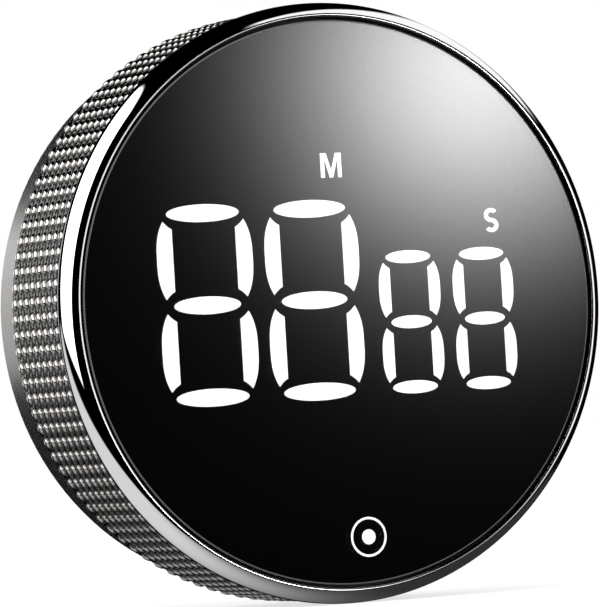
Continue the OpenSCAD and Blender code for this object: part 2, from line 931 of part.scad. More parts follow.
// Cover with two tongues on its upper edge and a latch nose on its lower edge.
module battery_cover() {
    rib_t = 0.8;
    rib_h = 0.25;
    color("dimgray")
        upright() {
            translate([0, 0, cover_inset])
                linear_extrude(cover_t)
                    rounded_plate(cover_x, cover_y, cover_corner);
            for (side = [-1, 1])
                translate([side * cell_pitch / 2, 0, 0]) {
                    block([-tongue_w / 2, cover_y - neck_l, cover_inset + cover_t / 2],
                          [tongue_w / 2, cover_y, tongue_front]);
                    block([-tongue_w / 2, cover_y - neck_l / 2, tongue_z],
                          [tongue_w / 2, cover_y + tongue_l, tongue_front]);
                    slab(rib_t / 2, cover_y - 3 * neck_l, cover_z - rib_h, cover_z + rib_h);
                }
            block([-latch_w / 2, -cover_y, cover_inset + cover_t / 2],
                  [latch_w / 2, -cover_y + neck_l / 2, tongue_front]);
            block([-latch_w / 2, -cover_y - latch_l, tongue_z],
                  [latch_w / 2, -cover_y + neck_l / 2, tongue_front]);
        }
}

// Copies for each cell place, turned about so that nubs and flats alternate.
module at_cells() {
    for (i = [0 : cell_count - 1])
        translate([(i - (cell_count - 1) / 2) * cell_pitch, 0, cell_z])
            rotate(180 * (i % 2))
                children();
}

// Cells with their nubs against the plates.
module aaa_cells() {
    nub_y = bay_y - plate_t - seat_gap;
    color("goldenrod")
        upright()
            at_cells()
                rotate([90, 0, 0]) {
                    disc(cell_d / 2, nub_h - nub_y, cell_l - nub_y);
                    disc(nub_d / 2, -nub_y, nub_h - nub_y + cut);
                }
}

// Flat plates at the nub ends.
module battery_plates() {
    half_h = cell_d * 0.35;
    color("silver")
        upright()
            at_cells()
                block([-contact_w / 2, bay_y - plate_t, -half_h],
                      [contact_w / 2, bay_y, half_h]);
}

// Bent leaves at the flat ends: a back on the wall, a leg out to the cell and a free end.
module battery_springs() {
    half_h = cell_d * 0.35;
    reach = leaf_room - seat_gap;
    free_u = 0.45 * reach;
    free_v = 0.8 * half_h;
    color("silver")
        upright()
            at_cells()
                rotate([90, 0, 90])
                    translate([-bay_y, 0, -contact_w / 2])
                        linear_extrude(contact_w) {
                            translate([0, -half_h])
                                square([leaf_t, 2 * half_h]);
                            polygon([[0, -half_h], [2 * leaf_t, -half_h], [reach, -leaf_t], [reach, leaf_t]]);
                            polygon([[reach, -leaf_t], [reach, leaf_t], [free_u, free_v],
                                     [free_u - 1.5 * leaf_t, free_v - leaf_t]]);
                        }
}

// Magnets in their cups.
module magnets() {
    color("lightgray")
        upright()
            for (side = [-1, 1])
                translate([side * magnet_at, 0, 0])
                    disc(magnet_d / 2, magnet_inset, magnet_inset + magnet_t);
}

front_lens();
chrome_bezel();
grip_ring();
rear_housing();
segment_lights();
lens_tape();
front_frame();
diffuser_film();
reflector_block();
led_chips();
main_board();
board_screws();
controller_chip();
touch_pad();
buzzer();
dial_rotor();
encoder_pinion();
encoder_body();
volume_switch();
volume_slider();
battery_cover();
aaa_cells();
battery_plates();
battery_springs();
magnets();
case_screws();
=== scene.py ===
"""Dressed model of a rotary kitchen timer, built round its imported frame."""
import json
import logging
import math
from contextlib import contextmanager
from dataclasses import dataclass
from enum import Enum
from functools import cache, reduce
from typing import Callable, ClassVar, Iterator

import bmesh
import bpy
from mathutils import Matrix, Vector


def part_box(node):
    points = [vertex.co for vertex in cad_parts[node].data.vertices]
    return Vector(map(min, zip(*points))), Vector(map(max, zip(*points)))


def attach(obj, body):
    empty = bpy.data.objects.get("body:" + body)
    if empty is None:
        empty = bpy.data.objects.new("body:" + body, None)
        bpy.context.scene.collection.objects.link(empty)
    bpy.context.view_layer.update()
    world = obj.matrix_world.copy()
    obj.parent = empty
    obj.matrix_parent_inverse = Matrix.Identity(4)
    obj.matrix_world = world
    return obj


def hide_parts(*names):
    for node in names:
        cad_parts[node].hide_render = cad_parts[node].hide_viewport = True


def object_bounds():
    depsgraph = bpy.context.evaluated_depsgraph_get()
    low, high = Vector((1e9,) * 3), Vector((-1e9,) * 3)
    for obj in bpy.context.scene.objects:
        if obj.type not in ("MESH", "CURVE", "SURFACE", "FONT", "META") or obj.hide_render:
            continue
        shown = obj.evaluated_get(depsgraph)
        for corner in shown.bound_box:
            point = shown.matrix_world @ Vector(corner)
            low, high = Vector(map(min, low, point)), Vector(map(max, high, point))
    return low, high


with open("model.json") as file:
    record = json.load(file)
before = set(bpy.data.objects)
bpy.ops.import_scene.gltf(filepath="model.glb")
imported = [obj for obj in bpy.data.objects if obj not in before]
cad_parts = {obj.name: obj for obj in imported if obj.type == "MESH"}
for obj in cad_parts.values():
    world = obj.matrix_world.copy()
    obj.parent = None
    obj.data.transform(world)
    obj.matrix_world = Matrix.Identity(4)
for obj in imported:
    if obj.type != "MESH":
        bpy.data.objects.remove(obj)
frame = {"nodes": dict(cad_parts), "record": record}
CAD_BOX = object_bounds()

MM = 0.001
WELD = 0.5e-6
FULL_TURN = 2 * math.pi
SMOOTH_ANGLE = math.radians(35)
FLOAT = "NodeSocketFloat"
COLOR = "NodeSocketColor"
WHITE = (1.0, 1.0, 1.0, 1.0)

# Numbers of a mix node's colour sockets, whose names aren't unique
MIX_FIRST = 6
MIX_SECOND = 7
MIX_RESULT = 2

Color = tuple[float, float, float]
Place = tuple[float, float, float]
Point = tuple[float, float]
Solid = bpy.types.Object
Vertex = bmesh.types.BMVert
Node = bpy.types.Node
Socket = bpy.types.NodeSocket
Material = bpy.types.Material

log = logging.getLogger("timer")


class Body(Enum):
    """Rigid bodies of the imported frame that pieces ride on."""

    CASE = "case"
    DIAL = "dial_ring"
    COVER = "cover"


class Grade(Enum):
    """Fineness of a lathed piece: steps in a full turn."""

    SMALL = 64
    LARGE = 288


# Modelling steps


def clear() -> None:
    """Deselect every object."""
    bpy.ops.object.select_all(action="DESELECT")


def take(piece: Solid) -> None:
    """Make one piece the only selected and the active object.

    Args:
        piece: Mesh object.
    """
    clear()
    piece.select_set(True)
    bpy.context.view_layer.objects.active = piece


@contextmanager
def editing(piece: Solid) -> Iterator[None]:
    """Work on one piece in edit mode with all of it selected.

    Args:
        piece: Mesh object to edit.

    Returns:
        An iterator for the with statement.
    """
    take(piece)
    bpy.ops.object.mode_set(mode="EDIT")
    bpy.ops.mesh.select_mode(type="VERT")
    bpy.ops.mesh.select_all(action="SELECT")
    yield
    bpy.ops.object.mode_set(mode="OBJECT")


def pick_vertices(piece: Solid, test: Callable[[Vertex], bool]) -> None:
    """Select the vertices of the edited piece that pass a test.

    Args:
        piece: Mesh object in edit mode.
        test: Function that says whether a vertex is wanted.
    """
    bpy.ops.mesh.select_mode(type="VERT")
    bpy.ops.mesh.select_all(action="DESELECT")
    shape = bmesh.from_edit_mesh(piece.data)
    for vertex in shape.verts:
        vertex.select = test(vertex)
    shape.select_flush(True)
    bmesh.update_edit_mesh(piece.data)


def weld(piece: Solid) -> None:
    """Merge the doubles of a piece and turn its faces outwards.

    Args:
        piece: Mesh object.
    """
    with editing(piece):
        bpy.ops.mesh.remove_doubles(threshold=WELD)
        bpy.ops.mesh.normals_make_consistent(inside=False)


def settle(piece: Solid) -> None:
    """Put the place of a piece into its mesh."""
    take(piece)
    bpy.ops.object.transform_apply(location=True, rotation=True, scale=True)


def smooth(piece: Solid, angle: float = SMOOTH_ANGLE) -> None:
    """Shade a piece smooth up to an angle between its faces."""
    take(piece)
    bpy.ops.object.shade_smooth_by_angle(angle=angle)


def apply_modifier(piece: Solid, name: str, kind: str, **settings: object) -> None:
    """Add a modifier to a piece and apply it.

    Args:
        piece: Mesh object.
        name: Name of the modifier.
        kind: Type of the modifier.
        settings: Properties to set on it.
    """
    modifier = piece.modifiers.new(name, kind)
    for key, value in settings.items():
        setattr(modifier, key, value)
    take(piece)
    bpy.ops.object.modifier_apply(modifier=name)


def repeat(piece: Solid, name: str, count: int, step: Place, merge: bool) -> None:
    """Repeat a piece in a row.

    Args:
        piece: Mesh object.
        name: Name of the modifier.
        count: Number of copies in the row.
        step: Way from one copy to the next.
        merge: Whether the copies grow together where they touch.
    """
    apply_modifier(
        piece, name, "ARRAY", count=count, use_relative_offset=False, use_constant_offset=True,
        constant_offset_displace=step, use_merge_vertices=merge, merge_threshold=WELD)


def oval(
        center: Point, reach: Point, start: float, end: float, steps: int, lean: float = 1.0) -> list[Point]:
    """List the points of an elliptical arc.

    Args:
        center: Centre of the ellipse.
        reach: Half lengths along the two axes.
        start: First angle in degrees, 0 along the first axis and 90 along the second.
        end: Last angle in degrees.
        steps: Number of chords.
        lean: 1 for an ellipse, more for a flatter curve between the axes.

    Returns:
        The points from start to end.
    """
    points = []
    for i in range(steps + 1):
        angle = math.radians(start + (end - start) * i / steps)
        shares = (math.cos(angle), math.sin(angle))
        swung = [math.copysign(abs(share) ** lean, share) for share in shares]
        points.append((center[0] + reach[0] * swung[0], center[1] + reach[1] * swung[1]))
    return points


def arc(center: Point, radius: float, start: float, end: float, steps: int) -> list[Point]:
    """List the points of a circular arc, with its angles as in an oval."""
    return oval(center, (radius, radius), start, end, steps)


def whole_oval(center: Point, reach: Point, corners: int) -> list[Point]:
    """List the corners of a closed ellipse, the first one along the first axis."""
    return oval(center, reach, 0, 360 - 360 / corners, corners - 1)


def draw_loop(name: str, corners: list[Vector]) -> Solid:
    """Draw a closed line from one vertex.

    Args:
        name: Name of the piece.
        corners: Corners of the line, in order.

    Returns:
        The piece, which has no faces yet.
    """
    clear()
    bpy.ops.mesh.primitive_plane_add(size=MM)
    piece = bpy.context.object
    piece.name = name
    with editing(piece):
        bpy.ops.mesh.merge(type="CENTER")
        here = corners[0]
        bpy.ops.transform.translate(value=here)
        for there in corners[1:] + corners[:1]:
            bpy.ops.mesh.extrude_vertices_move(TRANSFORM_OT_translate={"value": there - here})
            here = there
        bpy.ops.mesh.select_all(action="SELECT")
        bpy.ops.mesh.remove_doubles(threshold=WELD)
    return piece


def lathe(name: str, profile: list[Point], grade: Grade) -> Solid:
    """Spin a closed profile about the turning axis.

    Args:
        name: Name of the piece.
        profile: Points as radius and depth along Y, in metres.
        grade: Fineness of the turn.

    Returns:
        The lathed piece.
    """
    piece = draw_loop(name, [Vector((radius, depth, 0)) for radius, depth in profile])
    with editing(piece):
        bpy.ops.mesh.spin(steps=grade.value, angle=FULL_TURN, center=(0, 0, 0), axis=(0, 1, 0))
    weld(piece)
    return piece


def plate(name: str, outline: list[Point], back: float, thickness: float) -> Solid:
    """Fill an outline and raise it towards the front.

    Args:
        name: Name of the piece.
        outline: Corners as x and z, in metres.
        back: Place of the back along Y.
        thickness: Thickness of the plate.

    Returns:
        The plate.
    """
    piece = draw_loop(name, [Vector((x, back, z)) for x, z in outline])
    with editing(piece):
        bpy.ops.mesh.edge_face_add()
        bpy.ops.mesh.extrude_region_move(TRANSFORM_OT_translate={"value": (0, -thickness, 0)})
    weld(piece)
    return piece


def join(pieces: list[Solid]) -> Solid:
    """Join pieces into the first one.

    Args:
        pieces: Mesh objects.

    Returns:
        The first object, which now holds them all.
    """
    take(pieces[0])
    for piece in pieces[1:]:
        piece.select_set(True)
    bpy.ops.object.join()
    return pieces[0]


# Finishes


class NodeSheet:
    """A node tree with short calls to add and link nodes."""

    def __init__(self, tree: bpy.types.NodeTree) -> None:
        """Keep the tree to work on."""
        self.tree = tree

    def add(self, kind: str, inputs: dict | None = None, **settings: object) -> Node:
        """Add a node.

        Args:
            kind: Type of the node.
            inputs: Values or sockets by the name or number of the input.
            settings: Properties to set before the inputs.

        Returns:
            The node.
        """
        node = self.tree.nodes.new(kind)
        for key, value in settings.items():
            setattr(node, key, value)
        self.fill(node, inputs or {})
        return node

    def fill(self, node: Node, inputs: dict) -> None:
        """Set or link inputs of a node.

        Args:
            node: Node of the tree.
            inputs: Values or sockets by the name or number of the input.
        """
        for key, value in inputs.items():
            if isinstance(value, Socket):
                self.tree.links.new(value, node.inputs[key])
            else:
                node.inputs[key].default_value = value

    def math(self, operation: str, *values: object) -> Socket:
        """Work out a number from numbers."""
        return self.add("ShaderNodeMath", dict(enumerate(values)), operation=operation).outputs[0]

    def product(self, *values: object) -> Socket:
        """Multiply two or more numbers."""
        return reduce(lambda total, value: self.math("MULTIPLY", value, total), values)

    def fade(self, value: object, start: object, end: object, floor: float = 0.0) -> Socket:
        """Rise smoothly from a floor at start to 1 at end."""
        inputs = {"Value": value, "From Min": start, "From Max": end, "To Min": floor}
        return self.add("ShaderNodeMapRange", inputs, interpolation_type="SMOOTHSTEP").outputs[0]

    def vector(self, operation: str, *values: object) -> Node:
        """Work out a vector or a number from vectors."""
        return self.add("ShaderNodeVectorMath", dict(enumerate(values)), operation=operation)

    def place(self) -> Socket:
        """Give the place on the piece in its own coordinates."""
        return self.add("ShaderNodeTexCoord").outputs["Object"]


@dataclass(frozen=True)
class Grain:
    """Fine mottle of moulded and plated surfaces: a node group that materials share."""

    detail: float = 4.0
    roughness: float = 0.6

    @cache
    def group(self) -> bpy.types.NodeTree:
        """Build the group at the first call.

        Returns:
            The group with the outputs Color, Roughness and Height.
        """
        group = bpy.data.node_groups.new("surface_grain", "ShaderNodeTree")
        inputs = {"Color": COLOR, "Scale": FLOAT, "Tone": FLOAT, "Roughness": FLOAT, "Spread": FLOAT}
        outputs = {"Color": COLOR, "Roughness": FLOAT, "Height": FLOAT}
        for side, sockets in (("INPUT", inputs), ("OUTPUT", outputs)):
            for name, kind in sockets.items():
                group.interface.new_socket(name=name, in_out=side, socket_type=kind)
        sheet = NodeSheet(group)
        given = sheet.add("NodeGroupInput").outputs
        noise = sheet.add("ShaderNodeTexNoise", {
            "Vector": sheet.place(), "Scale": given["Scale"],
            "Detail": self.detail, "Roughness": self.roughness}).outputs[0]
        swing = sheet.math("SUBTRACT", noise, 0.5)
        tone = sheet.math("MULTIPLY_ADD", swing, given["Tone"], 1.0)
        toned = sheet.add("ShaderNodeVectorMath", {0: given["Color"], "Scale": tone}, operation="SCALE")
        rough = sheet.math("MULTIPLY_ADD", swing, given["Spread"], given["Roughness"])
        rough = sheet.math("MAXIMUM", rough, 0.0)
        sheet.add("NodeGroupOutput", {"Color": toned.outputs[0], "Roughness": rough, "Height": noise})
        return group


def blank_sheet(owner: Material | bpy.types.World) -> NodeSheet:
    """Clear the nodes of a material or a world.

    Args:
        owner: Material or world.

    Returns:
        The sheet of its empty tree.
    """
    owner.use_nodes = True
    owner.node_tree.nodes.clear()
    return NodeSheet(owner.node_tree)


def start_material(name: str) -> tuple[Material, NodeSheet, Node]:
    """Start a material with a Principled shader.

    Args:
        name: Name of the material.

    Returns:
        The material, its sheet and the shader.
    """
    material = bpy.data.materials.new(name)
    sheet = blank_sheet(material)
    shader = sheet.add("ShaderNodeBsdfPrincipled")
    sheet.add("ShaderNodeOutputMaterial", {"Surface": shader.outputs[0]})
    return material, sheet, shader


@dataclass(frozen=True)
class Finish:
    """Finish with a fine mottle: moulded plastic, plating, board, foam or glass."""

    color: Color
    roughness: float
    metallic: float = 0.0
    scale: float = 900.0
    tone: float = 0.3
    spread: float = 0.1
    relief: float = 0.0
    glow: float = 0.0
    alpha: float = 1.0
    specular: float = 0.5
    transmission: float = 0.0

    def build(self, slot: str) -> Material:
        """Build the material.

        Args:
            slot: Material slot of the record, which names the material.

        Returns:
            The material.
        """
        material, sheet, shader = start_material(slot)
        grain = sheet.add("ShaderNodeGroup", {
            "Color": (*self.color, 1.0), "Scale": self.scale, "Tone": self.tone,
            "Roughness": self.roughness, "Spread": self.spread}, node_tree=Grain().group()).outputs
        sheet.fill(shader, {
            "Base Color": grain["Color"],
            "Roughness": grain["Roughness"] if self.spread else self.roughness,
            "Metallic": self.metallic,
            "Alpha": self.alpha,
            "Specular IOR Level": self.specular,
            "Transmission Weight": self.transmission,
        })
        if self.glow:
            sheet.fill(shader, {"Emission Color": grain["Color"], "Emission Strength": self.glow})
        if self.relief:
            bump = sheet.add("ShaderNodeBump", {"Distance": self.relief, "Height": grain["Height"]})
            sheet.fill(shader, {"Normal": bump.outputs[0]})
        return material


@dataclass(frozen=True)
class PolishedFinish:
    """Mirror-bright plating with faint wiping marks."""

    color: Color
    roughness: float
    depth: float
    scale: float = 160.0
    detail: float = 3.0
    turn: Place = (0.0, 0.6, 0.0)
    stretch: Place = (1.0, 1.0, 14.0)
    mark_start: float = 0.56
    mark_full: float = 0.72

    def build(self, slot: str) -> Material:
        """Build the material.

        Args:
            slot: Material slot of the record, which names the material.

        Returns:
            The material.
        """
        material, sheet, shader = start_material(slot)
        drawn = sheet.add("ShaderNodeMapping", {
            "Vector": sheet.place(), "Rotation": self.turn, "Scale": self.stretch}).outputs[0]
        noise = sheet.add("ShaderNodeTexNoise", {
            "Vector": drawn, "Scale": self.scale, "Detail": self.detail}).outputs[0]
        wiped = sheet.fade(noise, self.mark_start, self.mark_full)
        rough = sheet.math("MULTIPLY_ADD", wiped, self.depth, self.roughness)
        sheet.fill(shader, {"Base Color": (*self.color, 1.0), "Roughness": rough, "Metallic": 1.0})
        return material


@dataclass(frozen=True)
class KnurlFinish:
    """Gunmetal plating, glossy on the points and rougher in the grooves between them, where painted shade
    darkens the colour.
    """

    point_color: Color
    # Dark colour of the painted shade in the grooves
    groove_shade_color: Color
    crest: float
    # Depths below the crest between which the painted shade in the grooves fades out, together with the
    # extra roughness
    point_depth: float = 0.08 * MM
    groove_depth: float = 0.26 * MM
    point_roughness: float = 0.09
    groove_roughness: float = 0.2
    scale: float = 1400.0
    tone: float = 0.2
    spread: float = 0.08

    def build(self, slot: str) -> Material:
        """Build the material.

        Args:
            slot: Material slot of the record, which names the material.

        Returns:
            The material.
        """
        material, sheet, shader = start_material(slot)
        flat = sheet.vector("MULTIPLY", sheet.place(), (1.0, 0.0, 1.0)).outputs[0]
        radius = sheet.vector("LENGTH", flat).outputs["Value"]
        # Painted shade: 0 deep in the grooves, where the colour is darkened, rising to 1 towards the points
        clear_of_groove_shade = sheet.fade(radius, self.crest - self.groove_depth, self.crest - self.point_depth)
        color = sheet.add("ShaderNodeMix", {
            "Factor": clear_of_groove_shade, MIX_FIRST: (*self.groove_shade_color, 1.0), MIX_SECOND: (*self.point_color, 1.0),
        }, data_type="RGBA").outputs[MIX_RESULT]
        gloss = self.point_roughness - self.groove_roughness
        rough = sheet.math("MULTIPLY_ADD", clear_of_groove_shade, gloss, self.groove_roughness)
        grain = sheet.add("ShaderNodeGroup", {
            "Color": color, "Scale": self.scale, "Tone": self.tone, "Roughness": rough,
            "Spread": self.spread}, node_tree=Grain().group()).outputs
        sheet.fill(shader, {
            "Base Color": grain["Color"], "Roughness": grain["Roughness"], "Metallic": 1.0})
        return material


# Sub-assemblies


class Palette:
    """All finishes: one material for each slot of the record, and one for the glass's ground edge."""

    def __init__(self) -> None:
        """Build the materials."""
        finishes = {
            "smoked_glass": Finish((0.05, 0.05, 0.051), 0.0, tone=0.02, spread=0.0, transmission=1.0),
            "ground_edge": Finish((0.17, 0.17, 0.175), 0.6, tone=0.1),
            "bezel_chrome": PolishedFinish((0.95, 0.95, 0.955), 0.01, depth=0.02),
            # Knurl: metal colour on the points, and a dark second colour that paints shade into the grooves
            "grip_metal": KnurlFinish(
                (0.5, 0.485, 0.47), (0.08, 0.077, 0.074), crest=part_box("grip_ring")[1].x),
            "rear_gloss": Finish((0.5, 0.49, 0.48), 0.22, metallic=1.0, tone=0.06, spread=0.05),
            "segment_white": Finish((1.0, 1.0, 1.0), 0.5, tone=0.02, glow=26.0),
            "tape_black": Finish((0.004, 0.004, 0.004), 0.8, specular=0.0),
            "frame_black": Finish((0.004, 0.004, 0.004), 0.6, relief=0.02 * MM, specular=0.0),
            "film_smoke": Finish((0.003, 0.003, 0.003), 0.5, alpha=0.35, specular=0.0),
            "led_cream": Finish((0.9, 0.82, 0.55), 0.2),
            "board_green": Finish((0.02, 0.16, 0.06), 0.3, scale=300.0, tone=0.5),
            "screw_steel": Finish((0.55, 0.55, 0.55), 0.3, metallic=1.0),
            "chip_black": Finish((0.02, 0.02, 0.021), 0.6, relief=0.02 * MM),
            "foam_grey": Finish((0.03, 0.03, 0.03), 0.95, relief=0.15 * MM, specular=0.0),
            "rotor_grey": Finish((0.03, 0.03, 0.031), 0.5, relief=0.01 * MM),
            "pinion_ivory": Finish((0.8, 0.77, 0.68), 0.45),
            "switch_steel": Finish((0.6, 0.6, 0.6), 0.3, metallic=1.0),
            "knob_black": Finish((0.02, 0.02, 0.02), 0.45, relief=0.02 * MM),
            "cover_charcoal": Finish((0.03, 0.03, 0.031), 0.5, scale=2600.0, relief=0.03 * MM),
            "cell_jacket": Finish((0.4, 0.4, 0.42), 0.3, metallic=0.6),
            "contact_nickel": Finish((0.7, 0.69, 0.66), 0.25, metallic=1.0),
            "magnet_nickel": Finish((0.72, 0.71, 0.69), 0.5, metallic=0.85, tone=0.1),
        }
        self.materials = {slot: finish.build(slot) for slot, finish in finishes.items()}

    def dress(self, piece: Solid, slot: str) -> None:
        """Give a piece the finish of one slot all over."""
        piece.data.materials.clear()
        piece.data.materials.append(self.materials[slot])

    def hand_over(self, piece: Solid, body: Body, slot: str, *nodes: str, finish: str = "") -> None:
        """Dress a finished piece and put it on its body in place of CAD nodes.

        Args:
            piece: Finished mesh object, with its place in its mesh.
            body: Body that it rides on.
            slot: Material slot of the record.
            nodes: CAD nodes that it stands for, if any.
            finish: Finish to use instead of the slot's own, if any.
        """
        self.dress(piece, finish or slot)
        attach(piece, body.value)
        if nodes:
            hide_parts(*nodes)
        log.info("%s on %s: %d faces", piece.name, body.value, len(piece.data.polygons))

    def dress_nodes(self) -> None:
        """Give every CAD node the finish of its slot in the record."""
        for subpart in frame["record"]["subparts"]:
            self.dress(frame["nodes"][subpart["node"]], subpart["material_slot"])
            log.info("%s keeps its solid, finish %s", subpart["node"], subpart["material_slot"])


@dataclass
class Bezel:
    """Bright ring round the glass that turns with the grip."""

    land: Point = (0.19 * MM, 0.04 * MM)
    corner: float = 0.012 * MM
    corner_end: float = 255.0
    crown: float = 2.65 * MM
    crown_start: float = -87.0
    crown_lean: float = 1.08
    crown_steps: int = 28
    heel: float = 0.06 * MM
    round_steps: int = 4
    wall_clearance: float = 0.05 * MM

    def build(self, palette: Palette) -> None:
        """Lathe the ring and put it in place of its solid.

        Args:
            palette: Finishes.
        """
        low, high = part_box("chrome_bezel")
        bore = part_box("dial_rotor")[1].x + self.wall_clearance
        outer, front, back = min(high.x, -low.x), low.y, high.y
        width, drop = self.land
        peak = bore + width
        support = width - 2 * self.corner
        inner = (bore + self.corner, front + drop + self.corner)
        profile = [
            (bore, back),
            *arc(inner, self.corner, 180, self.corner_end, self.round_steps),
            (peak - support, front + drop * support / width),
            (peak - self.corner, front + drop * self.corner / width),
            *oval(
                (peak, front + self.crown), (outer - peak, self.crown), self.crown_start, 0,
                self.crown_steps, self.crown_lean),
            *arc((outer - self.heel, back - self.heel), self.heel, 0, 90, self.round_steps),
        ]
        piece = lathe("bezel_ring", profile, Grade.LARGE)
        smooth(piece)
        palette.hand_over(piece, Body.DIAL, "bezel_chrome", "chrome_bezel")


@dataclass
class GlassDisc:
    """Smoked glass over the display, with a ground front edge."""

    edge: float = 0.12 * MM
    ground: float = 0.06 * MM
    seam: float = 0.004 * MM
    support: float = 0.03 * MM
    back_gap: float = 0.01 * MM
    smooth_angle: float = math.radians(25)

    def build(self, palette: Palette) -> None:
        """Make the glass and its edge and put them in place of its solid.

        Args:
            palette: Finishes.
        """
        low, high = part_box("front_lens")
        radius, front = high.x, low.y
        glass = self.disc(radius, front, high.y - self.back_gap)
        smooth(glass, self.smooth_angle)
        palette.hand_over(glass, Body.CASE, "smoked_glass", "front_lens")
        inner = self.edge + self.ground - self.seam
        edge = lathe("glass_edge", [
            (radius - inner, front), (radius - self.edge, front),
            (radius, front + self.edge), (radius, front + inner)], Grade.LARGE)
        smooth(edge)
        palette.hand_over(edge, Body.CASE, "smoked_glass", finish="ground_edge")

    def disc(self, radius: float, front: float, back: float) -> Solid:
        """Turn a cylinder into a disc with a bevelled front edge and a flat front.

        Args:
            radius: Radius of the disc.
            front: Place of its front along Y.
            back: Place of its back along Y.

        Returns:
            The disc.
        """
        clear()
        bpy.ops.mesh.primitive_cylinder_add(
            vertices=Grade.LARGE.value, radius=radius, depth=back - front,
            location=(0, (front + back) / 2, 0), rotation=(math.pi / 2, 0, 0))
        piece = bpy.context.object
        piece.name = "glass_disc"
        settle(piece)
        with editing(piece):
            pick_vertices(piece, lambda vertex: vertex.co.y < front + WELD)
            bpy.ops.mesh.select_mode(type="EDGE")
            bpy.ops.mesh.bevel(offset=self.edge + self.ground, segments=1, affect="EDGES")
            pick_vertices(piece, lambda vertex: vertex.co.y < front + WELD)
            bpy.ops.mesh.select_mode(type="FACE")
            bpy.ops.mesh.inset(thickness=self.support)
        weld(piece)
        return piece


